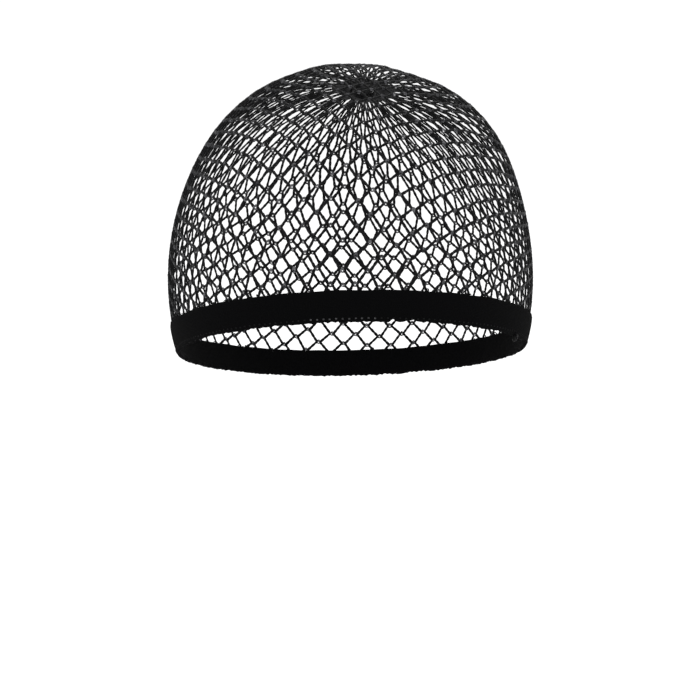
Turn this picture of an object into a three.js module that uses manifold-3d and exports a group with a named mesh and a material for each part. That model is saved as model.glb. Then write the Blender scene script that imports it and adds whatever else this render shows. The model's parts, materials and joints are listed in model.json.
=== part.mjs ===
import * as THREE from 'three';
import { mergeVertices } from 'three/addons/utils/BufferGeometryUtils.js';
import Module from 'manifold-3d';

// Hairnet: a coarse knotted net cap on an elastic band, in the form it takes when it is worn.
// Millimetres, +Z up, the front toward -Y. The origin is the middle of the cap's inner form.

// Inner form that net and band lie on: its width, its depth front to back, and the crown above
// its middle
const formWidth = 150;
const formDepth = 192;
const crownHeight = 88;

// The form is fuller than an ellipsoid at each side: how far, at what angle from the crown, and
// over what angle that fades out
const rightFullness = 3.9;
const leftFullness = 1.5;
const rightFullAngle = THREE.MathUtils.degToRad(44);
const leftFullAngle = THREE.MathUtils.degToRad(39);
const fullSpread = THREE.MathUtils.degToRad(20);

// Elastic band: a strip that lies on the form, higher at the front than at the back, and a
// little higher on the right
const bandHeight = 12;
const bandThickness = 2;
const bandDrop = 26;
const bandTilt = THREE.MathUtils.degToRad(18.5);
const bandLean = THREE.MathUtils.degToRad(1.4);
const bandEdgeRound = 0.6;

// Net: webs that wind up from the band in both senses to a gather behind the crown, with a
// diamond gap in each mesh between them
const netThickness = 1.5;
const webWidth = 6.5;
const leastGapShare = 0.6;
const netColumns = 14;
const netRows = 10;
const rowAngle = THREE.MathUtils.degToRad(11.2);
const gatherTilt = THREE.MathUtils.degToRad(38);
const gatherTurn = THREE.MathUtils.degToRad(6);

// Gather: a small roll of net round the tie, and the closed collar of puckers outside it
const gatherRadius = 7;
const gatherRollDiameter = 2.6;
const gatherCollar = 14;

// Tie: a wound button of thread that closes the gather
const tieHeight = 4.4;
const tieEdge = 1.2;

const clearance = 0.3;

// Facets round the form, round the band, and round and across the gather
const formSteps = 32;
const bandSteps = 60;
const gatherSteps = 28;
const rollSides = 8;

const wasm = await Module();
wasm.setup();

function toSolid(geometry) {
  const bare = geometry.clone();
  bare.deleteAttribute('normal');
  bare.deleteAttribute('uv');
  const merged = mergeVertices(bare);
  const vertProperties = new Float32Array(merged.attributes.position.array);
  const triVerts = new Uint32Array(merged.index.array);
  return new wasm.Manifold(new wasm.Mesh({ numProp: 3, vertProperties, triVerts }));
}

function toGeometry(solid) {
  const mesh = solid.getMesh();
  const geometry = new THREE.BufferGeometry();
  geometry.setAttribute('position', new THREE.BufferAttribute(mesh.vertProperties, 3));
  geometry.setIndex(new THREE.BufferAttribute(mesh.triVerts, 1));
  geometry.computeVertexNormals();
  return geometry;
}

// Surface of the form: a point in a direction from the middle, or any point, lifted off along
// the normal
const semiAxes = new THREE.Vector3(formWidth / 2, formDepth / 2, crownHeight);

function fullness(point) {
  const share = point.clone().divide(semiAxes);
  const angle = Math.atan2(share.x, share.z);
  const right = rightFullness * Math.exp(-(((angle - rightFullAngle) / fullSpread) ** 2));
  const left = leftFullness * Math.exp(-(((angle + leftFullAngle) / fullSpread) ** 2));
  return (right + left) * Math.max(0, 1 - share.y ** 2);
}

function lift(point, offset) {
  const normal = point.clone().divide(semiAxes).divide(semiAxes).normalize();
  return point.clone().addScaledVector(normal, offset + fullness(point));
}

function onForm(direction, offset) {
  const reach = 1 / direction.clone().divide(semiAxes).length();
  return lift(direction.clone().multiplyScalar(reach), offset);
}

// Band plane: its back, right and up directions, and its middle
const bandBack = new THREE.Vector3(0, Math.cos(bandTilt), -Math.sin(bandTilt));
const bandSide = new THREE.Vector3(1, 0, 0).applyAxisAngle(bandBack, -bandLean);
const bandUp = bandSide.clone().cross(bandBack);
const bandMiddle = new THREE.Vector3(0, 0, -bandDrop);

// Point of the form in a plane at a height over the band's middle, at an angle round it
function onBandPlane(angle, height, offset) {
  const start = bandMiddle.clone().addScaledVector(bandUp, height);
  const way = bandSide.clone().multiplyScalar(Math.sin(angle));
  way.addScaledVector(bandBack, -Math.cos(angle));
  const from = start.clone().divide(semiAxes);
  const step = way.clone().divide(semiAxes);
  const a = step.lengthSq();
  const b = from.dot(step);
  const c = from.lengthSq() - 1;
  const reach = (-b + Math.sqrt(b * b - a * c)) / a;
  return lift(start.addScaledVector(way, reach), offset);
}

// Ring on the form round the band plane, from a closed profile of offset and height
function bandRing(profile) {
  const base = 2 * bandThickness;
  const points = profile.map(([offset, height]) => new THREE.Vector2(base + offset, height));
  points.push(points[0].clone());
  const geometry = new THREE.LatheGeometry(points, bandSteps);
  const position = geometry.attributes.position;
  for (let i = 0; i < position.count; i += 1) {
    const offset = Math.hypot(position.getX(i), position.getZ(i)) - base;
    const angle = Math.atan2(position.getX(i), position.getZ(i));
    const point = onBandPlane(angle, position.getY(i), offset);
    position.setXYZ(i, point.x, point.y, point.z);
  }
  return geometry;
}

// Gather frame: the direction of the gather from the middle of the form, and the axes round it
const gatherUp = new THREE.Vector3(
  Math.sin(gatherTilt) * Math.sin(gatherTurn),
  Math.sin(gatherTilt) * Math.cos(gatherTurn),
  Math.cos(gatherTilt),
);
const gatherSide = new THREE.Vector3(0, -1, 0).cross(gatherUp).negate().normalize();
const gatherFront = gatherSide.clone().cross(gatherUp).normalize();
const gatherMiddle = onForm(gatherUp, 0);
const tieRadius = gatherRadius - gatherRollDiameter / 2 - clearance;

// Sets a geometry that is made along Z on the gather, at a height over the form
function placeOnGather(geometry, height) {
  const turn = new THREE.Quaternion().setFromUnitVectors(new THREE.Vector3(0, 0, 1), gatherUp);
  const middle = gatherMiddle.clone().addScaledVector(gatherUp, height);
  geometry.applyQuaternion(turn);
  return geometry.translate(middle.x, middle.y, middle.z);
}

// Point of the net at a turn round the gather and an angle away from it
function onNet(turn, angle) {
  const direction = gatherUp.clone().multiplyScalar(Math.cos(angle));
  direction.addScaledVector(gatherFront, Math.sin(angle) * Math.cos(turn));
  direction.addScaledVector(gatherSide, Math.sin(angle) * Math.sin(turn));
  return onForm(direction, 0);
}

// Closed inner form, grown by an offset
function innerForm(offset) {
  const geometry = new THREE.SphereGeometry(1, formSteps, formSteps / 2);
  const position = geometry.attributes.position;
  for (let i = 0; i < position.count; i += 1) {
    const point = onForm(new THREE.Vector3().fromBufferAttribute(position, i), offset);
    position.setXYZ(i, point.x, point.y, point.z);
  }
  return toSolid(geometry);
}

// Everything below a height over the band's middle
function below(height) {
  const size = 2 * formDepth;
  const geometry = new THREE.BoxGeometry(size, size, size);
  geometry.translate(0, 0, -size / 2);
  geometry.applyMatrix4(new THREE.Matrix4().makeBasis(bandSide, bandBack, bandUp));
  const middle = bandMiddle.clone().addScaledVector(bandUp, height);
  geometry.translate(middle.x, middle.y, middle.z);
  return toSolid(geometry);
}

// Cutter for one diamond gap: half a web inside the four corners of its mesh
function gapCutter(turn, angle) {
  const middle = onNet(turn, angle);
  const halfColumn = Math.PI / netColumns;
  const up = onNet(turn, angle - rowAngle).sub(middle);
  const down = onNet(turn, angle + rowAngle).sub(middle);
  const left = onNet(turn - halfColumn, angle).sub(middle);
  const right = onNet(turn + halfColumn, angle).sub(middle);
  const across = right.clone().sub(left).normalize();
  const out = across.clone().cross(up).normalize();
  const along = out.clone().cross(across);
  const corners = [right, up, left, down];
  const halfWidth = right.distanceTo(left) / 2;
  const halfHeight = up.distanceTo(down) / 2;
  const sideDistance = (halfWidth * halfHeight) / Math.hypot(halfWidth, halfHeight);
  const inset = Math.max(leastGapShare, 1 - webWidth / 2 / sideDistance);
  const flat = corners.map((corner) => new THREE.Vector2(corner.dot(across), corner.dot(along)));
  const depth = 2 * webWidth;
  const geometry = new THREE.ExtrudeGeometry(
    new THREE.Shape(flat.map((corner) => corner.multiplyScalar(inset))),
    { depth, bevelEnabled: false },
  );
  geometry.translate(0, 0, -depth / 2);
  geometry.applyMatrix4(new THREE.Matrix4().makeBasis(across, along, out));
  return toSolid(geometry.translate(middle.x, middle.y, middle.z));
}

// The net's lower edge lies over the band, and a mesh needs its middle no lower than a web below it
const edgeHeight = bandHeight / 2 + clearance;

function isAboveEdge(point) {
  return point.clone().sub(bandMiddle).dot(bandUp) > edgeHeight - webWidth;
}

// All the gaps of the net: each row is half a column on from the row above it
function buildGaps() {
  const collarAngle = Math.asin(gatherCollar / gatherMiddle.length());
  const gaps = [];
  for (let row = 1; row <= netRows; row += 1) {
    const angle = collarAngle + row * rowAngle;
    for (let column = 0; column < netColumns; column += 1) {
      const turn = ((column + row / 2) * 2 * Math.PI) / netColumns;
      if (isAboveEdge(onNet(turn, angle))) {
        gaps.push(gapCutter(turn, angle));
      }
    }
  }
  const joined = gaps.reduce((all, gap) => all.add(gap));
  return joined.subtract(below(edgeHeight + webWidth / 2));
}

function buildNet() {
  const shell = innerForm(netThickness).subtract(innerForm(0)).subtract(below(edgeHeight));
  const rollRadius = gatherRollDiameter / 2;
  const roll = new THREE.TorusGeometry(gatherRadius, rollRadius, rollSides, gatherSteps);
  const holeRadius = tieRadius + clearance;
  const hole = new THREE.CylinderGeometry(holeRadius, holeRadius, 2 * gatherRadius, gatherSteps);
  hole.rotateX(Math.PI / 2);
  const gathered = shell.subtract(buildGaps()).add(toSolid(placeOnGather(roll, rollRadius)));
  return toGeometry(gathered.subtract(toSolid(placeOnGather(hole, 0))));
}

// Band: a strip with slightly rounded edges, its inner side on the form
function buildBand() {
  const top = bandHeight / 2;
  const round = Math.min(bandEdgeRound, bandThickness / 3);
  return bandRing([
    [round, -top],
    [bandThickness - round, -top],
    [bandThickness, round - top],
    [bandThickness, top - round],
    [bandThickness - round, top],
    [round, top],
    [0, top - round],
    [0, round - top],
  ]);
}

// Tie: a button inside the gather's roll, with worn edges
function buildTie() {
  const half = tieHeight / 2;
  const profile = [
    new THREE.Vector2(0, -half),
    new THREE.Vector2(tieRadius - tieEdge, -half),
    new THREE.Vector2(tieRadius, tieEdge - half),
    new THREE.Vector2(tieRadius, half - tieEdge),
    new THREE.Vector2(tieRadius - tieEdge, half),
    new THREE.Vector2(0, half),
  ];
  const geometry = new THREE.LatheGeometry(profile, gatherSteps);
  geometry.rotateX(Math.PI / 2);
  return placeOnGather(geometry, gatherRollDiameter / 2);
}

const threadBlack = new THREE.MeshStandardMaterial({ color: 0x141414, roughness: 0.75, metalness: 0 });
const bandBlack = new THREE.MeshStandardMaterial({ color: 0x0b0b0c, roughness: 0.9, metalness: 0 });

const hairnet = new THREE.Group();

const net = new THREE.Mesh(buildNet(), threadBlack);
net.name = 'net';
hairnet.add(net);

const band = new THREE.Mesh(buildBand(), bandBlack);
band.name = 'elastic_band';
hairnet.add(band);

const tie = new THREE.Mesh(buildTie(), threadBlack);
tie.name = 'crown_tie';
hairnet.add(tie);

export default hairnet;
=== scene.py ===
import json
import math
import random

import bpy
from mathutils import Euler, Matrix, Vector, noise

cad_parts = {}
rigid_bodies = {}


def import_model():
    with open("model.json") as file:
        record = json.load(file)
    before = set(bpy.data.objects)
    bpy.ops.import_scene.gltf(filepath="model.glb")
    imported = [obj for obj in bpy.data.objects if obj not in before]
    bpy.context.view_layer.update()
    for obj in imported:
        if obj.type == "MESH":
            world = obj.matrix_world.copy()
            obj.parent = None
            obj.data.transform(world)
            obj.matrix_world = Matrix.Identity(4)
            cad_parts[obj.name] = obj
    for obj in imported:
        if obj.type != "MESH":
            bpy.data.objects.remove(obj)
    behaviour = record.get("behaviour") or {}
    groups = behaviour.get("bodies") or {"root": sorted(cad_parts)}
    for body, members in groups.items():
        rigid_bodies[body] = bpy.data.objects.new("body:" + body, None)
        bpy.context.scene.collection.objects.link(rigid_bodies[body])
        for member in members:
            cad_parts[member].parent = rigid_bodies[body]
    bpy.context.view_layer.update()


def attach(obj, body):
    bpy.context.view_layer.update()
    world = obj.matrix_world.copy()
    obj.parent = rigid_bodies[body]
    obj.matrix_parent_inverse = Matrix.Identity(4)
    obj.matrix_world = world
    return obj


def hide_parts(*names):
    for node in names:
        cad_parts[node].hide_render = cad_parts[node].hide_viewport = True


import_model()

bpy.ops.object.select_all(action="DESELECT")
print("frame loaded")

mm = 0.001
degree = math.pi / 180

# the cap's inner form, with the origin in its middle: net and band lie on it
capForm = {
    "width": 150 * mm,
    "depth": 192 * mm,
    "crown": 88 * mm,
    "fullAt": ((44 * degree, 3.9 * mm), (-39 * degree, 1.5 * mm)),  # fuller high on each side
    "fullSpread": 20 * degree,
}

# where the gather sits behind the top: how far back, and how far to the right
gatherPlace = {"back": 38 * degree, "right": 6 * degree}

# the band's plane, higher at the front than at the back, and a little higher on the right
bandPlane = {
    "drop": 26 * mm,
    "tilt": 18.5 * degree,
    "lean": 1.4 * degree,
    "height": 12 * mm,
    "thickness": 2 * mm,
}


# Camera: the photograph's view, from a little above the level
cameraSetup = {
    "frameWidth": 692,
    "frameHeight": 691,
    "focalPixels": 2756,
    "distance": 1.15,
    "elevation": 10 * degree,
    "originPixel": (350.4, 278.0),
    "sensor": 36,
    "farthest": 20,
}


def makeCamera(setup):
    data = bpy.data.cameras.new("camera")
    data.sensor_width = setup["sensor"]
    data.lens = setup["focalPixels"] / setup["frameWidth"] * setup["sensor"]
    x, y = setup["originPixel"]
    data.shift_x = (setup["frameWidth"] / 2 - x) / setup["frameWidth"]
    data.shift_y = (y - setup["frameHeight"] / 2) / setup["frameWidth"]
    data.clip_end = setup["farthest"]
    camera = bpy.data.objects.new("camera", data)
    rise = setup["elevation"]
    camera.location = Vector((0, -math.cos(rise), math.sin(rise))) * setup["distance"]
    camera.rotation_euler = (math.pi / 2 - rise, 0, 0)
    bpy.context.scene.collection.objects.link(camera)
    bpy.context.scene.camera = camera


makeCamera(cameraSetup)
print("camera placed")


# Surface of the form
semiAxes = Vector((capForm["width"] / 2, capForm["depth"] / 2, capForm["crown"]))


def shareOf(vector, axes):
    return Vector((vector.x / axes.x, vector.y / axes.y, vector.z / axes.z))


def normalAt(point):
    return shareOf(shareOf(point, semiAxes), semiAxes).normalized()


def fullness(point):
    share = shareOf(point, semiAxes)
    angle = math.atan2(share.x, share.z)
    rise = 0.0
    for middle, height in capForm["fullAt"]:
        rise += height * math.exp(-((angle - middle) / capForm["fullSpread"]) ** 2)
    return rise * max(0.0, 1 - share.y ** 2)


def onForm(direction, lift=0.0):
    point = direction / shareOf(direction, semiAxes).length
    return point + normalAt(point) * (lift + fullness(point))


bandBack = Vector((0, math.cos(bandPlane["tilt"]), -math.sin(bandPlane["tilt"])))
bandSide = Matrix.Rotation(-bandPlane["lean"], 3, bandBack) @ Vector((1, 0, 0))
bandUp = bandSide.cross(bandBack)
bandMiddle = Vector((0, 0, -bandPlane["drop"]))


def heightOverBand(point):
    return (point - bandMiddle).dot(bandUp)


def onBandPlane(angle, height, lift):
    # angle 0 is the middle of the front, and it grows toward the right
    start = bandMiddle + bandUp * height
    way = bandSide * math.sin(angle) - bandBack * math.cos(angle)
    first, step = shareOf(start, semiAxes), shareOf(way, semiAxes)
    a, b, c = step.dot(step), first.dot(step), first.dot(first) - 1
    reach = (math.sqrt(b * b - a * c) - b) / a
    point = start + way * reach
    return point + normalAt(point) * (lift + fullness(point))


# Layout of the net: columns turn round the gather, and rows are counted in half meshes, from
# row 0 at the sides up to the gather as minus rows, and down to the front as plus rows
netLayout = {
    "columns": 54,
    "lowestRow": 9,
    "highestRow": -29,
    "turnStart": -6.9,      # where column 0 stands, in degrees right of the front
    "turnRow": 0.086,       # lean of the columns toward the gather
    "turnRowBend": 0.0144,
    "turnSides": 17.0,      # how the columns crowd and spread from the front to the sides
    "turnFlanks": -9.85,
    "turnDrift": 45.1,
    "turnDriftFlanks": -20.5,
    "middleAngle": 102.36,  # row 0, in degrees from the gather
    "rowStep": 3.285,
    "rowShrink": 0.054,
    "crownRow": -18,
    "crownStep": 4.3,
    "crownEase": 4,
    "tilt": -12.6,          # how the rows tilt and sag at the sides
    "tiltRow": -0.328,
    "tiltFlanks": 6.85,
    "sag": 2.0,
    "sagRow": -0.883,
    "lift": 0.62 * mm,      # middle of the cord over the form
}

gatherUp = Vector((
    math.sin(gatherPlace["back"]) * math.sin(gatherPlace["right"]),
    math.sin(gatherPlace["back"]) * math.cos(gatherPlace["right"]),
    math.cos(gatherPlace["back"]),
))
gatherSide = gatherUp.cross(Vector((0, -1, 0))).normalized()
gatherFront = gatherSide.cross(gatherUp).normalized()


def rowAngles(layout):
    angles = {0: layout["middleAngle"]}
    for row in range(1, layout["lowestRow"] + 2):
        angles[row] = angles[row - 1] + layout["rowStep"] + layout["rowShrink"] * (row - 0.5)
    for row in range(-1, layout["highestRow"] - 2, -1):
        step = layout["rowStep"] + layout["rowShrink"] * (row + 0.5)
        if row < layout["crownRow"]:
            ease = min(1.0, (layout["crownRow"] - row) / layout["crownEase"])
            low = layout["rowStep"] + layout["rowShrink"] * layout["crownRow"]
            step = low + (layout["crownStep"] - low) * ease
        angles[row] = angles[row + 1] - step
    return angles


netAngles = rowAngles(netLayout)


def onNet(column, row, lift):
    # column and row in half meshes
    layout = netLayout
    turn = math.pi * column / layout["columns"]
    side, flanks, both = math.sin(turn), math.sin(2 * turn), math.sin(turn) ** 2
    near = (0.5 + 0.5 * math.cos(turn)) ** 2    # 1 at the front, 0 at the back
    rowAngle = netAngles[row] * degree
    around = layout["turnSides"] * side + layout["turnFlanks"] * flanks
    around += layout["turnDrift"] * (1 - math.cos(turn)) + layout["turnDriftFlanks"] * both
    around = around * near + layout["turnStart"] + layout["turnRow"] * row
    around = turn + (around + layout["turnRowBend"] * row * row) * degree
    pull = (layout["tilt"] + layout["tiltRow"] * row) * side + layout["tiltFlanks"] * flanks
    pull += (layout["sag"] + layout["sagRow"] * row) * both
    angle = rowAngle + pull * near * degree * math.sin(rowAngle)
    flat = gatherFront * math.cos(around) + gatherSide * math.sin(around)
    return onForm(gatherUp * math.cos(angle) + flat * math.sin(angle), lift)


# Shared shader groups
def newGroup(name, inputs, outputs):
    group = bpy.data.node_groups.new(name, "ShaderNodeTree")
    for label, kind, value in inputs:
        socket = group.interface.new_socket(label, in_out="INPUT", socket_type=kind)
        socket.default_value = value
    for label, kind in outputs:
        group.interface.new_socket(label, in_out="OUTPUT", socket_type=kind)
    return group, group.nodes.new("NodeGroupInput"), group.nodes.new("NodeGroupOutput")


fibreGrain = {"scale": 2600.0, "depth": 0.05 * mm, "detail": 3}


def fibreGroup(grain):
    # fine filament noise: a mask, and the normal of the same bump
    group, entry, leave = newGroup(
        "fibres",
        [("Scale", "NodeSocketFloat", grain["scale"]), ("Depth", "NodeSocketFloat", grain["depth"])],
        [("Mask", "NodeSocketFloat"), ("Normal", "NodeSocketVector")],
    )
    nodes, link = group.nodes, group.links.new
    where = nodes.new("ShaderNodeTexCoord")
    filaments = nodes.new("ShaderNodeTexNoise")
    filaments.inputs["Detail"].default_value = grain["detail"]
    bump = nodes.new("ShaderNodeBump")
    link(where.outputs["Object"], filaments.inputs["Vector"])
    link(entry.outputs["Scale"], filaments.inputs["Scale"])
    link(filaments.outputs["Fac"], bump.inputs["Height"])
    link(entry.outputs["Depth"], bump.inputs["Distance"])
    link(filaments.outputs["Fac"], leave.inputs["Mask"])
    link(bump.outputs["Normal"], leave.inputs["Normal"])
    return group


fibres = fibreGroup(fibreGrain)
sheenRoughness = 0.4


def newMaterial(name, roughness, sheen, specular):
    material = bpy.data.materials.new(name)
    material.use_nodes = True
    shader = material.node_tree.nodes["Principled BSDF"]
    shader.inputs["Roughness"].default_value = roughness
    shader.inputs["Sheen Weight"].default_value = sheen
    shader.inputs["Sheen Roughness"].default_value = sheenRoughness
    shader.inputs["Specular IOR Level"].default_value = specular
    return material, shader


def colourBlend(nodes, finish):
    # mixes a finish's dark and light colour
    colour = nodes.new("ShaderNodeMix")
    colour.data_type = "RGBA"
    colour.inputs["A"].default_value = finish["dark"]
    colour.inputs["B"].default_value = finish["light"]
    return colour


cordFinish = {
    "dark": (0.0020, 0.0020, 0.0022, 1),
    "light": (0.008, 0.008, 0.009, 1),
    "roughness": 0.6,
    "sheen": 0.0,
    "specular": 0.07,
}


def makeCordMaterial(name, finish):
    # each copy's own shade times the grain leads from the dark to the light colour
    material, shader = newMaterial(name, finish["roughness"], finish["sheen"], finish["specular"])
    nodes, link = material.node_tree.nodes, material.node_tree.links.new
    grain = nodes.new("ShaderNodeGroup")
    grain.node_tree = fibres
    shade = nodes.new("ShaderNodeAttribute")
    shade.attribute_name = "shade"
    blend = nodes.new("ShaderNodeMath")
    blend.operation = "MULTIPLY"
    colour = colourBlend(nodes, finish)
    link(grain.outputs["Mask"], blend.inputs[0])
    link(shade.outputs["Fac"], blend.inputs[1])
    link(blend.outputs["Value"], colour.inputs["Factor"])
    link(colour.outputs["Result"], shader.inputs["Base Color"])
    link(grain.outputs["Normal"], shader.inputs["Normal"])
    return material


cordMaterial = makeCordMaterial("blackNylonCord", cordFinish)

# the thin thread of the knots is painted greyer than the cord: a painted sheen, with light showing
# through the thin threads
knotFinish = {
    "dark": (0.018, 0.018, 0.020, 1),
    "light": (0.17, 0.17, 0.18, 1),
    "roughness": 0.6,
    "sheen": 0.01,
    "specular": 0.14,
}
knotMaterial = makeCordMaterial("greyKnotThread", knotFinish)

# the gather and its tie, painted a little lighter than the cord as a painted highlight, so that the
# windings can be told apart
gatherFinish = {
    "dark": (0.0030, 0.0030, 0.0032, 1),
    "light": (0.050, 0.050, 0.053, 1),
    "roughness": 0.5,
    "sheen": 0.0,
    "specular": 0.2,
}
gatherMaterial = makeCordMaterial("blackGatherThread", gatherFinish)

# the stitch thread is dark: its light colour is a painted highlight, given to the stitches near the
# front middle
stitchFinish = {
    "dark": (0.0016, 0.0016, 0.0018, 1),
    "light": (0.11, 0.11, 0.115, 1),
    "roughness": 0.6,
    "sheen": 0.0,
    "specular": 0.08,
}
stitchMaterial = makeCordMaterial("greyStitchThread", stitchFinish)

bandFinish = {
    "dark": (0.0006, 0.0006, 0.0007, 1),
    "light": (0.0026, 0.0026, 0.0029, 1),
    "roughness": 0.9,
    "sheen": 0.0,
    "specular": 0.03,
    "walePitch": 0.8 * mm,
    "coursePitch": 0.55 * mm,
    "waleShare": 0.5,       # height of the wales beside that of the courses
    "knitDepth": 0.12 * mm,
    "knitStrength": 0.5,
}


def makeBandMaterial(finish):
    # knit of the elastic: wales and courses on the band's own unrolled map, in metres
    material, shader = newMaterial(
        "blackKnittedElastic", finish["roughness"], finish["sheen"], finish["specular"]
    )
    nodes, link = material.node_tree.nodes, material.node_tree.links.new
    grain = nodes.new("ShaderNodeGroup")
    grain.node_tree = fibres
    where = nodes.new("ShaderNodeUVMap")
    where.uv_map = "unrolled"
    split = nodes.new("ShaderNodeSeparateXYZ")
    link(where.outputs["UV"], split.inputs["Vector"])
    waves = []
    for axis, pitch in (("X", finish["walePitch"]), ("Y", finish["coursePitch"])):
        turns = nodes.new("ShaderNodeMath")
        turns.operation = "MULTIPLY"
        turns.inputs[1].default_value = 2 * math.pi / pitch
        wave = nodes.new("ShaderNodeMath")
        wave.operation = "COSINE"
        link(split.outputs[axis], turns.inputs[0])
        link(turns.outputs["Value"], wave.inputs[0])
        waves.append(wave)
    knit = nodes.new("ShaderNodeMath")
    knit.operation = "MULTIPLY_ADD"
    knit.inputs[1].default_value = finish["waleShare"]
    link(waves[0].outputs["Value"], knit.inputs[0])
    link(waves[1].outputs["Value"], knit.inputs[2])
    bump = nodes.new("ShaderNodeBump")
    bump.inputs["Distance"].default_value = finish["knitDepth"]
    bump.inputs["Strength"].default_value = finish["knitStrength"]
    link(knit.outputs["Value"], bump.inputs["Height"])
    link(grain.outputs["Normal"], bump.inputs["Normal"])
    colour = colourBlend(nodes, finish)
    link(grain.outputs["Mask"], colour.inputs["Factor"])
    link(colour.outputs["Result"], shader.inputs["Base Color"])
    link(bump.outputs["Normal"], shader.inputs["Normal"])
    return material


bandMaterial = makeBandMaterial(bandFinish)
print("materials made")


# Steps that several pieces share
def resizeMesh(value):
    bpy.ops.object.mode_set(mode="EDIT")
    bpy.ops.mesh.select_all(action="SELECT")
    bpy.ops.transform.resize(value=value)
    bpy.ops.object.mode_set(mode="OBJECT")


def closeMesh(doubles=0.0, sides=0):
    # merges doubles, fills open ends of so many sides, and turns the faces outward
    bpy.ops.object.mode_set(mode="EDIT")
    bpy.ops.mesh.select_all(action="SELECT")
    if doubles:
        bpy.ops.mesh.remove_doubles(threshold=doubles)
    if sides:
        bpy.ops.mesh.fill_holes(sides=sides)
        bpy.ops.mesh.select_all(action="SELECT")
    bpy.ops.mesh.normals_make_consistent(inside=False)
    bpy.ops.object.mode_set(mode="OBJECT")


def joinAll(prefix):
    # makes one object of all whose names start so
    parts = [o for o in bpy.context.scene.objects if o.name.startswith(prefix)]
    bpy.ops.object.select_all(action="DESELECT")
    for part in parts:
        part.select_set(True)
    bpy.context.view_layer.objects.active = parts[0]
    bpy.ops.object.join()
    bpy.ops.object.transform_apply(location=True, rotation=True, scale=True)


# Units that repeat, each modelled once and then set on many places
def finishUnit(name):
    unit = bpy.context.object
    unit.name = name
    bpy.ops.object.shade_smooth()
    unit.hide_render = True
    bpy.ops.object.select_all(action="DESELECT")
    return unit


legUnit = {"wide": 0.69 * mm, "narrow": 0.52 * mm, "sides": 6, "steps": 8, "turns": 1.25}


def makeLegUnit(shape):
    # a twisted two-ply cord, one unit long, upright on the origin
    bpy.ops.mesh.primitive_circle_add(vertices=shape["sides"], radius=shape["wide"])
    resizeMesh((1, shape["narrow"] / shape["wide"], 1))
    screw = bpy.context.object.modifiers.new("screw", "SCREW")
    screw.angle = shape["turns"] * 2 * math.pi
    screw.screw_offset = 1
    screw.steps = shape["steps"]
    screw.render_steps = shape["steps"]
    bpy.ops.object.modifier_apply(modifier="screw")
    closeMesh(sides=shape["sides"])
    return finishUnit("legUnit")


# the lower and the upper loop of a knot: up is how far each stands from the middle
knotUnit = {
    "loops": (
        {"radius": 0.60 * mm, "thread": 0.36 * mm, "up": -0.22 * mm, "lean": 20 * degree, "around": 8},
        {"radius": 0.40 * mm, "thread": 0.30 * mm, "up": 0.58 * mm, "lean": -24 * degree, "around": 6},
    ),
    "stretch": 1.2,
    "sides": 4,
}


def makeKnotUnit(shape):
    # a ring of thin thread with a smaller one over it; X to the side, Y up the net
    for loop in shape["loops"]:
        bpy.ops.mesh.primitive_torus_add(
            major_radius=loop["radius"],
            minor_radius=loop["thread"],
            major_segments=loop["around"],
            minor_segments=shape["sides"],
            location=(0, loop["up"], 0),
            rotation=(loop["lean"], loop["lean"] / 2, 0),
        )
    joinAll("Torus")
    resizeMesh((shape["stretch"], 1, 1))
    return finishUnit("knotUnit")


loopUnit = {"radius": 1.0 * mm, "thread": 0.30 * mm, "around": 9, "sides": 5, "stretch": 1.1}


def makeLoopUnit(shape):
    # one turn of thread, a little longer than wide
    bpy.ops.mesh.primitive_torus_add(
        major_radius=shape["radius"],
        minor_radius=shape["thread"],
        major_segments=shape["around"],
        minor_segments=shape["sides"],
    )
    resizeMesh((1, shape["stretch"], 1))
    return finishUnit("loopUnit")


def readAttribute(nodes, name):
    reader = nodes.new("GeometryNodeInputNamedAttribute")
    reader.data_type = "FLOAT_VECTOR"
    reader.inputs["Name"].default_value = name
    return reader


def scatterNodes(unit):
    # a copy of the unit on each point, turned and scaled by the point's own values
    group = bpy.data.node_groups.new("scatter_" + unit.name, "GeometryNodeTree")
    group.interface.new_socket("Geometry", in_out="INPUT", socket_type="NodeSocketGeometry")
    group.interface.new_socket("Geometry", in_out="OUTPUT", socket_type="NodeSocketGeometry")
    nodes, link = group.nodes, group.links.new
    entry, leave = nodes.new("NodeGroupInput"), nodes.new("NodeGroupOutput")
    source = nodes.new("GeometryNodeObjectInfo")
    source.inputs["Object"].default_value = unit
    turn, size = readAttribute(nodes, "turn"), readAttribute(nodes, "size")
    rotation = nodes.new("FunctionNodeEulerToRotation")
    instance = nodes.new("GeometryNodeInstanceOnPoints")
    realize = nodes.new("GeometryNodeRealizeInstances")
    link(entry.outputs["Geometry"], instance.inputs["Points"])
    link(source.outputs["Geometry"], instance.inputs["Instance"])
    link(turn.outputs["Attribute"], rotation.inputs["Euler"])
    link(rotation.outputs["Rotation"], instance.inputs["Rotation"])
    link(size.outputs["Attribute"], instance.inputs["Scale"])
    link(instance.outputs["Instances"], realize.inputs["Geometry"])
    link(realize.outputs["Geometry"], leave.inputs["Geometry"])
    return group


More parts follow.
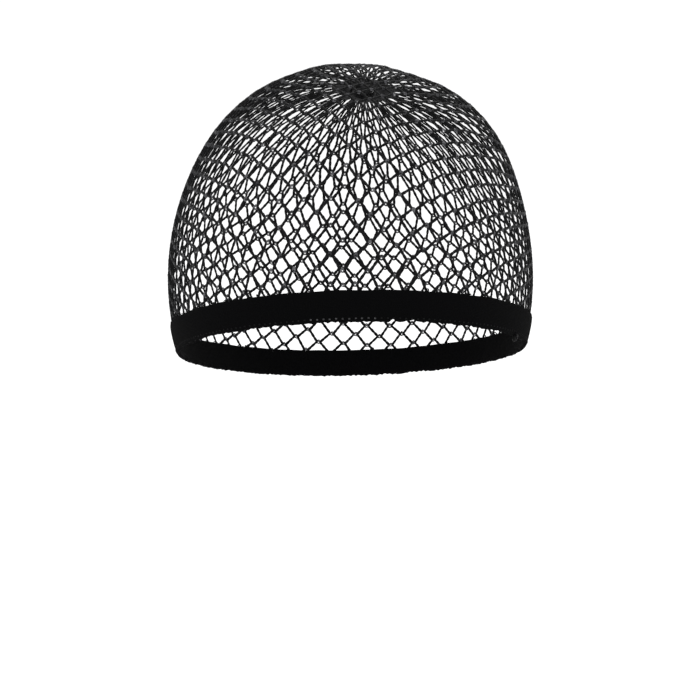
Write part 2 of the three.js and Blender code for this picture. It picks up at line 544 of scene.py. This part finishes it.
def scatter(name, unit, places, material):
    # places: position, rotation matrix, scale and shade of each copy
    mesh = bpy.data.meshes.new(name)
    mesh.from_pydata([place[0] for place in places], [], [])
    for label, kind in (("turn", "FLOAT_VECTOR"), ("size", "FLOAT_VECTOR"), ("shade", "FLOAT")):
        mesh.attributes.new(label, kind, "POINT")
    turn, size, shade = (mesh.attributes[label].data for label in ("turn", "size", "shade"))
    for index, (_, rotation, scale, tone) in enumerate(places):
        turn[index].vector = rotation.to_euler("XYZ")
        size[index].vector = scale
        shade[index].value = tone
    piece = bpy.data.objects.new(name, mesh)
    bpy.context.scene.collection.objects.link(piece)
    modifier = piece.modifiers.new("scatter", "NODES")
    modifier.node_group = scatterNodes(unit)
    bpy.ops.object.select_all(action="DESELECT")
    piece.select_set(True)
    bpy.context.view_layer.objects.active = piece
    bpy.ops.object.modifier_apply(modifier="scatter")
    for label in ("turn", "size"):
        piece.data.attributes.remove(piece.data.attributes[label])
    piece.data.materials.clear()
    piece.data.materials.append(material)
    piece.select_set(False)
    print(name, len(places), "copies,", len(piece.data.polygons), "faces")
    return piece


def frameOf(side, up):
    # rotation whose X is the side, Y the way up and Z the way out
    out = side.cross(up).normalized()
    across = up.cross(out).normalized()
    return Matrix((across, up.normalized(), out)).transposed()


def alongFrame(start, end):
    # rotation whose Z runs from start to end, with X off the form
    along = (end - start).normalized()
    out = normalAt(start)
    side = along.cross(out).normalized()
    return Matrix((side.cross(along), side, along)).transposed()


# Net: knots on the layout, and two cords, its legs, up from each knot to the row above
netKnot = {
    "width": 2.2 * mm,
    "height": 2.4 * mm,
    "meshShare": 0.42,      # the most of its mesh's width that a knot takes
    "flat": 0.75,           # knots and legs lie flat: thinner off the form than along it
    "sizes": (0.9, 1.1),
    "tilts": (0.3, 0.3, 0.35),
    "sway": 0.35 * mm,      # how far a knot strays from the layout
    "puckerRow": -21,       # from this row up the net bunches in folds
    "pucker": 0.16 * mm,
    "puckerStray": 0.5,
    "folds": 12,
}


def knotPlaces(shape, draw):
    places = {}
    for row in range(netLayout["highestRow"], netLayout["lowestRow"] + 1):
        folded = max(0, shape["puckerRow"] - row)
        for column in range(2 * netLayout["columns"]):
            if (column + row) % 2:
                fold = 0.5 + 0.5 * math.sin(math.pi * column * shape["folds"] / netLayout["columns"])
                bunch = fold + draw.uniform(0, shape["puckerStray"])
                lift = netLayout["lift"] + shape["pucker"] * folded * bunch
                sway = shape["sway"] / (1 + folded)
                stray = Vector((draw.uniform(-1, 1), draw.uniform(-1, 1), draw.uniform(-1, 1)))
                flat = onNet(column, row, 0.0) + stray * sway
                places[column, row] = onForm(flat, lift)
    return places


def knotFrame(shape, column, row):
    # the way to the side and the way up at a knot, and its size where the meshes are narrow
    lift = netLayout["lift"]
    left, right = onNet(column - 1, row, lift), onNet(column + 1, row, lift)
    below, above = onNet(column, row + 1, lift), onNet(column, row - 1, lift)
    side, up = right - left, above - below
    size = min(1.0, shape["meshShare"] * side.length / shape["width"])
    return side.normalized(), up.normalized(), size


netLeg = {
    "side": 0.80 * mm,      # how far from the knot's middle a leg starts
    "up": 0.12 * mm,
    "flat": 0.62,
    "thinnest": 0.55,       # thickness where the meshes close up, and what is added elsewhere
    "added": 0.45,
    "sunk": 2 * mm,         # how far legs go down behind the band's upper edge
    "hidden": 0.2 * mm,     # legs that end lower than this behind the band are left out
}


def netParts(knots, knotShape, legShape, draw):
    edge = bandPlane["height"] / 2
    frames = {place: knotFrame(knotShape, *place) for place in knots}
    legs = {-1: [], 1: []}
    eyelets = []
    for (column, row), point in knots.items():
        side, up, size = frames[column, row]
        if heightOverBand(point) > edge - knotShape["height"] / 2:
            scale = Vector((size, size, knotShape["flat"])) * draw.uniform(*knotShape["sizes"])
            tilt = Euler([draw.uniform(-most, most) for most in knotShape["tilts"]])
            rotation = frameOf(side, up) @ tilt.to_matrix()
            eyelets.append((point, rotation, scale, draw.random()))
        for lean in (-1, 1):
            above = ((column + lean) % (2 * netLayout["columns"]), row - 1)
            if above not in knots:
                continue
            sideA, upA, sizeA = frames[above]
            away, rise = lean * legShape["side"], legShape["up"]
            start = point + side * away * size + up * rise * size
            end = knots[above] - sideA * away * sizeA - upA * rise * sizeA
            low, high = heightOverBand(start), heightOverBand(end)
            sunk = edge - legShape["sunk"]
            if high < edge - legShape["hidden"]:
                continue
            if low < sunk:
                start = start.lerp(end, (sunk - low) / (high - low))
            thick = legShape["thinnest"] + legShape["added"] * min(size, sizeA)
            scale = Vector((thick * legShape["flat"], thick, (end - start).length))
            legs[lean].append((start, alongFrame(start, end), scale, draw.random()))
    return legs, eyelets


netDraw = random.Random(7)
knots = knotPlaces(netKnot, netDraw)
legs, eyelets = netParts(knots, netKnot, netLeg, netDraw)
legCopy, knotCopy, loopCopy = makeLegUnit(legUnit), makeKnotUnit(knotUnit), makeLoopUnit(loopUnit)
rightLegs = scatter("netRightLegs", legCopy, legs[1], cordMaterial)
leftLegs = scatter("netLeftLegs", legCopy, legs[-1], cordMaterial)
netKnots = scatter("netKnots", knotCopy, eyelets, knotMaterial)
print("net made")

# Gather: the last row's cords run in to a wound roll, which the tie fills
gatherShape = {
    "radius": 7 * mm,
    "tube": 1.3 * mm,
    "wraps": 108,
    "wrapSizes": (1.18, 1.28),
    "lean": 12 * degree,
    "ahead": 0.01,          # angle over which a wrap's direction is taken
    "strandsIn": 8.1 * mm,
    "strandsUp": 1.0 * mm,
    "strandRises": (0.6, 2.2),
    "strandThick": 0.8,
}
gatherMiddle = onForm(gatherUp)


def onGather(angle, radius, height):
    flat = gatherFront * math.cos(angle) + gatherSide * math.sin(angle)
    return gatherMiddle + flat * radius + gatherUp * height


def gatherWraps(shape, draw):
    wraps = []
    for index in range(shape["wraps"]):
        angle = 2 * math.pi * index / shape["wraps"]
        middle = onGather(angle, shape["radius"], shape["tube"])
        ahead = onGather(angle + shape["ahead"], shape["radius"], shape["tube"])
        lean = Euler((0, draw.uniform(-1, 1) * shape["lean"], 0)).to_matrix()
        rotation = alongFrame(middle, ahead) @ lean
        scale = Vector((1, 1, 1)) * draw.uniform(*shape["wrapSizes"])
        wraps.append((middle, rotation, scale, draw.random()))
    return wraps


def gatherStrands(shape, knots, draw):
    # two strands from each knot of the highest row in to the roll
    strands = []
    for (column, row), point in knots.items():
        if row == netLayout["highestRow"]:
            offset = point - gatherMiddle
            angle = math.atan2(offset.dot(gatherSide), offset.dot(gatherFront))
            for side in (-1, 1):
                inner = angle + side * math.pi / shape["wraps"]
                height = shape["strandsUp"] * draw.uniform(*shape["strandRises"])
                end = onGather(inner, shape["strandsIn"], height)
                thick, length = shape["strandThick"], (end - point).length + shape["tube"] / 2
                scale = Vector((thick, thick, length))
                strands.append((point, alongFrame(point, end), scale, draw.random()))
    return strands


gatherDraw = random.Random(11)
wraps = gatherWraps(gatherShape, gatherDraw)
strands = gatherStrands(gatherShape, knots, gatherDraw)
gatherRoll = scatter("gatherRoll", loopCopy, wraps, gatherMaterial)
gatherFolds = scatter("gatherFolds", legCopy, strands, gatherMaterial)
print("gather made")

# how a tube is made: doubles closer than this merge, and its direction is taken over this share
tubeMaking = {"doubles": 0.002 * mm, "ahead": 0.001}


def makeTube(name, path, thread, steps, sides, reference):
    # a grid rolled up into a tube along a path, which takes a share from 0 to 1
    bpy.ops.mesh.primitive_grid_add(x_subdivisions=steps, y_subdivisions=sides, size=1)
    tube = bpy.context.object
    tube.name = name
    ahead = tubeMaking["ahead"]
    for vertex in tube.data.vertices:
        share, turn = vertex.co.x + 0.5, 2 * math.pi * (vertex.co.y + 0.5)
        along = (path(share + ahead) - path(share - ahead)).normalized()
        side = along.cross(reference).normalized()
        ring = side * math.cos(turn) + side.cross(along) * math.sin(turn)
        vertex.co = path(share) + ring * thread
    closeMesh(doubles=tubeMaking["doubles"], sides=sides)
    bpy.ops.object.shade_smooth()
    return tube


# Tie: thread wound from the middle of the top outward and down the side, and bound across
tieShape = {
    "radius": 4.99 * mm,
    "thread": 0.43 * mm,
    "top": 2.75 * mm,
    "dome": 0.5 * mm,
    "height": 3.2 * mm,
    "pitch": 0.78 * mm,
    "firstTurn": 0.3,       # how far from the middle the winding starts, in threads
    "stepsPerTurn": 26,
    "sides": 6,
    # the tie takes a middle tone, half way to the gather's painted highlight colour
    "shade": 0.5,
}

tieBinding = {
    "count": 5,
    "stray": 0.2,
    "thick": 0.85,          # beside the winding's thread
    "lift": 0.75 * mm,
    "inset": 0.1 * mm,
    "squareness": 3.5,      # how late each end turns down
    "steps": 24,
}


def windingPath(shape):
    topTurns = (shape["radius"] - shape["thread"]) / shape["pitch"]
    turns = topTurns + shape["height"] / shape["pitch"]

    def path(share):
        turn = share * turns
        start = shape["thread"] * shape["firstTurn"]
        radius = min(shape["radius"], start + turn * shape["pitch"])
        down = max(0.0, turn - topTurns) * shape["pitch"]
        rise = shape["dome"] * (1 - (radius / shape["radius"]) ** 2)
        return onGather(2 * math.pi * turn, max(0.0, radius), shape["top"] + rise - down)

    return path, turns


def bindingPath(shape, binding, angle, offset):
    # straight over the winding, at an offset from its middle
    def path(share):
        reach = (2 * share - 1) * (shape["radius"] - binding["inset"])
        rise = shape["dome"] + binding["lift"]
        rise *= 1 - abs(2 * share - 1) ** binding["squareness"]
        return onGather(angle, reach, shape["top"] + rise) + offset

    return path


def makeTie(shape, binding, draw):
    path, turns = windingPath(shape)
    steps = round(turns * shape["stepsPerTurn"])
    makeTube("tieWinding", path, shape["thread"], steps, shape["sides"], gatherUp)
    thread = shape["thread"] * binding["thick"]
    for index in range(binding["count"]):
        angle = math.pi * (index + draw.uniform(-1, 1) * binding["stray"]) / binding["count"]
        across = onGather(angle + math.pi / 2, 1, 0) - gatherMiddle
        offset = across * draw.uniform(-1, 1) * shape["pitch"]
        path = bindingPath(shape, binding, angle, offset)
        makeTube("tieWinding", path, thread, binding["steps"], shape["sides"], across)
    joinAll("tieWinding")
    tie = bpy.context.object
    tie.name = "woundTie"
    shade = tie.data.attributes.new("shade", "FLOAT", "POINT")
    for place in shade.data:
        place.value = shape["shade"]
    tie.data.materials.append(gatherMaterial)
    tie.select_set(False)
    return tie


woundTie = makeTie(tieShape, tieBinding, random.Random(5))
print("tie made")


# Elastic band: a closed knitted strip on the band plane, with a wavy, picoted lower edge
bandShape = {
    "length": 0.52,
    "wales": 1300,
    "across": 20,
    "doubles": 0.005 * mm,
    "faceCorner": 0.32,         # how square the strip's section is, at its faces and its edges
    "edgeCorner": 0.8,
    "ribDepth": 0.05 * mm,
    "scallops": 216,
    "scallopDepth": 0.32 * mm,
    "uneven": 1.5,              # how much the scallops differ from each other
    "unevenWaves": 19.0,
    "frayDepth": 0.42 * mm,     # small dents of the lower edge
    "frayWaves": 31.0,
    "edgePower": 4,             # keeps the scallops and dents at the lower edge
    "waveDepth": 0.28 * mm,     # slow waves of both edges
    "waves": 9.0,
    "edgeSteps": (              # three steps of the lower edge: place, rise and spread
        (9.2 * degree, 0.9 * mm, 0.6 * degree),
        (10.9 * degree, -0.45 * mm, 0.6 * degree),
        (13.7 * degree, 0.8 * mm, 2.4 * degree),
    ),
}


def bandProfile(share, shape):
    # share of the way round the strip's section, as lift and height shares from -1 to 1
    turn = 2 * math.pi * share
    lift, height = math.cos(turn), math.sin(turn)
    lift = math.copysign(abs(lift) ** shape["faceCorner"], lift)
    height = math.copysign(abs(height) ** shape["edgeCorner"], height)
    return lift, height


def lowerEdge(angle, ring, shape):
    # how far the lower edge stands up at an angle round the band
    rise = abs(math.sin(shape["scallops"] * angle / 2)) * shape["scallopDepth"]
    rise *= 1 + shape["uneven"] * noise.noise(ring * shape["unevenWaves"])
    rise += shape["frayDepth"] * noise.noise(ring * shape["frayWaves"])
    for place, height, spread in shape["edgeSteps"]:
        rise += height * math.exp(-((angle - place) / spread) ** 2)
    return rise


def makeBand(shape):
    bpy.ops.mesh.primitive_grid_add(
        x_subdivisions=shape["wales"], y_subdivisions=shape["across"], size=1
    )
    band = bpy.context.object
    band.name = "knittedBand"
    unrolled = band.data.uv_layers.new(name="unrolled")
    half, thick = bandPlane["height"] / 2, bandPlane["thickness"]
    for loop in band.data.loops:
        flat = band.data.vertices[loop.vertex_index].co
        lift, height = bandProfile(flat.y + 0.5, shape)
        unrolled.data[loop.index].uv = ((flat.x + 0.5) * shape["length"], height * half)
    for vertex in band.data.vertices:
        across, share = vertex.co.x + 0.5, vertex.co.y + 0.5
        angle = 2 * math.pi * across
        lift, height = bandProfile(share, shape)
        wale = round(across * shape["wales"])
        rib = shape["ribDepth"] * (1 if wale % 2 else -1) * (1 if lift > 0 else 0)
        ring = Vector((math.sin(angle), math.cos(angle), 0))
        wave = shape["waveDepth"] * noise.noise(ring * shape["waves"] + Vector((0, 0, height)))
        rise = lowerEdge(angle, ring, shape) * max(0.0, -height) ** shape["edgePower"]
        offset = thick / 2 + lift * thick / 2 + rib
        vertex.co = onBandPlane(angle, height * half + wave * abs(height) + rise, offset)
    closeMesh(doubles=shape["doubles"])
    bpy.ops.object.shade_smooth()
    band.data.materials.append(bandMaterial)
    band.select_set(False)
    return band


band = makeBand(bandShape)
print("band made")

# Sewing on the band: a row of stitches near the lower edge
stitchRow = {
    "pitch": 2.4 * mm,
    "walk": 0.1 * degree,       # step in which the way round the band is measured
    "length": 0.72 * mm,
    "height": -4.35 * mm,
    "heightStray": 0.12 * mm,
    "lift": 1.93 * mm,
    "slant": 0.1 * mm,          # the most that a stitch rises or falls over the angle ahead
    "ahead": 1 * degree,
    "thick": 0.56,
    "sizes": (0.9, 1.1),
    "clear": (-9.5 * degree, 5.5 * degree),     # where the stitches stand raised and get a painted highlight
    "paintedHighlightTones": (0.45, 1.0),
    "tones": (0.0, 0.05),
    "sunk": 0.12 * mm,          # how much deeper they sit elsewhere
}


def anglesAlong(shape):
    # angles round the band that are one pitch apart
    angles, angle, walked = [], -math.pi, 0.0
    before = onBandPlane(angle, shape["height"], 0)
    while angle < math.pi:
        angle += shape["walk"]
        point = onBandPlane(angle, shape["height"], 0)
        walked += (point - before).length
        before = point
        if walked >= shape["pitch"]:
            walked -= shape["pitch"]
            angles.append(angle)
    return angles


def bandStitches(shape, draw):
    places = []
    for angle in anglesAlong(shape):
        height = shape["height"] + draw.uniform(-1, 1) * shape["heightStray"]
        slant = draw.uniform(-1, 1) * shape["slant"]
        middle = onBandPlane(angle, height, shape["lift"])
        ahead = onBandPlane(angle + shape["ahead"], height + slant, shape["lift"])
        way = (ahead - middle).normalized()
        thick = shape["thick"] * draw.uniform(*shape["sizes"])
        clear = shape["clear"][0] < angle < shape["clear"][1]
        # near the front middle the dark thread gets a painted highlight, a lighter tone of the same
        # thread
        tone = draw.uniform(*shape["paintedHighlightTones" if clear else "tones"])
        start = middle - way * (shape["length"] / 2)
        if not clear:
            start -= normalAt(start) * shape["sunk"]
        scale = Vector((thick, thick, shape["length"]))
        places.append((start, alongFrame(start, ahead), scale, tone))
    return places


# a nub on the band's upper edge wherever a cord of the net goes in
nubShape = {
    "height": 6.05 * mm,
    "lift": 1.1 * mm,
    "tall": 1.4,
    "smallest": 0.35,
    "growth": 0.5,
    "rarity": 3,                # power that keeps large nubs few
    "turn": 6,
}


def bandNubs(shape, legs, draw):
    places = []
    for start, rotation, legScale, _ in legs:
        end = start + rotation @ Vector((0, 0, legScale.z))
        low, high = heightOverBand(start), heightOverBand(end)
        if low < shape["height"] <= high:
            point = start.lerp(end, (shape["height"] - low) / (high - low))
            place = onForm(point, shape["lift"])
            turn = Euler((draw.uniform(-1, 1), draw.uniform(-1, 1), draw.uniform(0, shape["turn"])))
            size = shape["smallest"] + shape["growth"] * draw.random() ** shape["rarity"]
            scale = Vector((1, 1, shape["tall"])) * size
            places.append((place, rotation @ turn.to_matrix(), scale, draw.random()))
    return places


# a loop of thread that hangs from the lower edge on the right
looseShape = {
    "place": 53.6 * degree,
    "height": -6.5 * mm,
    "lift": 1.6 * mm,
    "radius": 0.95 * mm,
    "thread": 0.72 * mm,
    "turns": 1.15,
    "narrow": 0.85,
    "opensAt": 0.8,             # from this share of its length on the loop opens out
    "opening": 0.5,
    "away": 0.8 * mm,
    "steps": 26,
    "sides": 6,
}


def makeLooseLoop(shape):
    middle = onBandPlane(shape["place"], shape["height"], shape["lift"])
    out = normalAt(middle)
    side = out.cross(bandUp).normalized()
    up = side.cross(out).normalized()

    def path(share):
        turn = 2 * math.pi * share * shape["turns"]
        reach = shape["radius"] * (1 + shape["opening"] * max(0.0, share - shape["opensAt"]))
        ring = side * math.sin(turn) * shape["narrow"] + up * math.cos(turn)
        return middle + ring * reach + out * share * shape["away"]

    loop = makeTube("looseLoop", path, shape["thread"], shape["steps"], shape["sides"], out)
    loop.data.attributes.new("shade", "FLOAT", "POINT")     # left at 0, the thread's dark colour
    loop.data.materials.append(stitchMaterial)
    loop.select_set(False)
    return loop


sewingDraw = random.Random(3)
stitches = scatter("bandStitches", legCopy, bandStitches(stitchRow, sewingDraw), stitchMaterial)
nubs = scatter("bandNubs", loopCopy, bandNubs(nubShape, legs[1] + legs[-1], sewingDraw), cordMaterial)
looseLoop = makeLooseLoop(looseShape)
for unit in (legCopy, knotCopy, loopCopy):
    bpy.data.objects.remove(unit)
print("sewing made")


# Stage and light
stageSetup = {
    "floor": -0.30,
    "size": 60.0,
    "colour": (0.93, 0.93, 0.93, 1),
    "roughness": 0.8,
    "sheen": 0.0,
    "specular": 0.2,
    "skyColour": (1, 1, 1, 1),
    "sky": 1.12,
}


def makeStage(setup):
    bpy.context.scene.view_settings.view_transform = "Standard"
    bpy.ops.mesh.primitive_plane_add(size=setup["size"], location=(0, 0, setup["floor"]))
    floor = bpy.context.object
    floor.name = "floor"
    material, shader = newMaterial("paleFloor", setup["roughness"], setup["sheen"], setup["specular"])
    shader.inputs["Base Color"].default_value = setup["colour"]
    floor.data.materials.append(material)
    world = bpy.data.worlds.new("studio")
    bpy.context.scene.world = world
    world.use_nodes = True
    background = world.node_tree.nodes["Background"]
    background.inputs["Color"].default_value = setup["skyColour"]
    background.inputs["Strength"].default_value = setup["sky"]


makeStage(stageSetup)

lightSetup = {
    "key": {"place": (-0.9, -1.3, 1.5), "size": 1.2, "power": 9},
    "fill": {"place": (1.4, -0.9, 0.7), "size": 1.4, "power": 4},
    "rim": {"place": (0.3, 1.5, 1.2), "size": 1.0, "power": 5},
}


def makeLights(setup):
    for name, light in setup.items():
        data = bpy.data.lights.new(name, "AREA")
        data.size = light["size"]
        data.energy = light["power"]
        lamp = bpy.data.objects.new(name, data)
        lamp.location = light["place"]
        aim = -Vector(light["place"])
        lamp.rotation_euler = aim.to_track_quat("-Z", "Y").to_euler()
        bpy.context.scene.collection.objects.link(lamp)


makeLights(lightSetup)
print("stage and lights made")

standsFor = {
    "net": (rightLegs, leftLegs, netKnots, gatherRoll, gatherFolds),
    "crown_tie": (woundTie,),
    "elastic_band": (band, stitches, nubs, looseLoop),
}
for node, pieces in standsFor.items():
    for piece in pieces:
        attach(piece, "root")
        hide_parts(node)
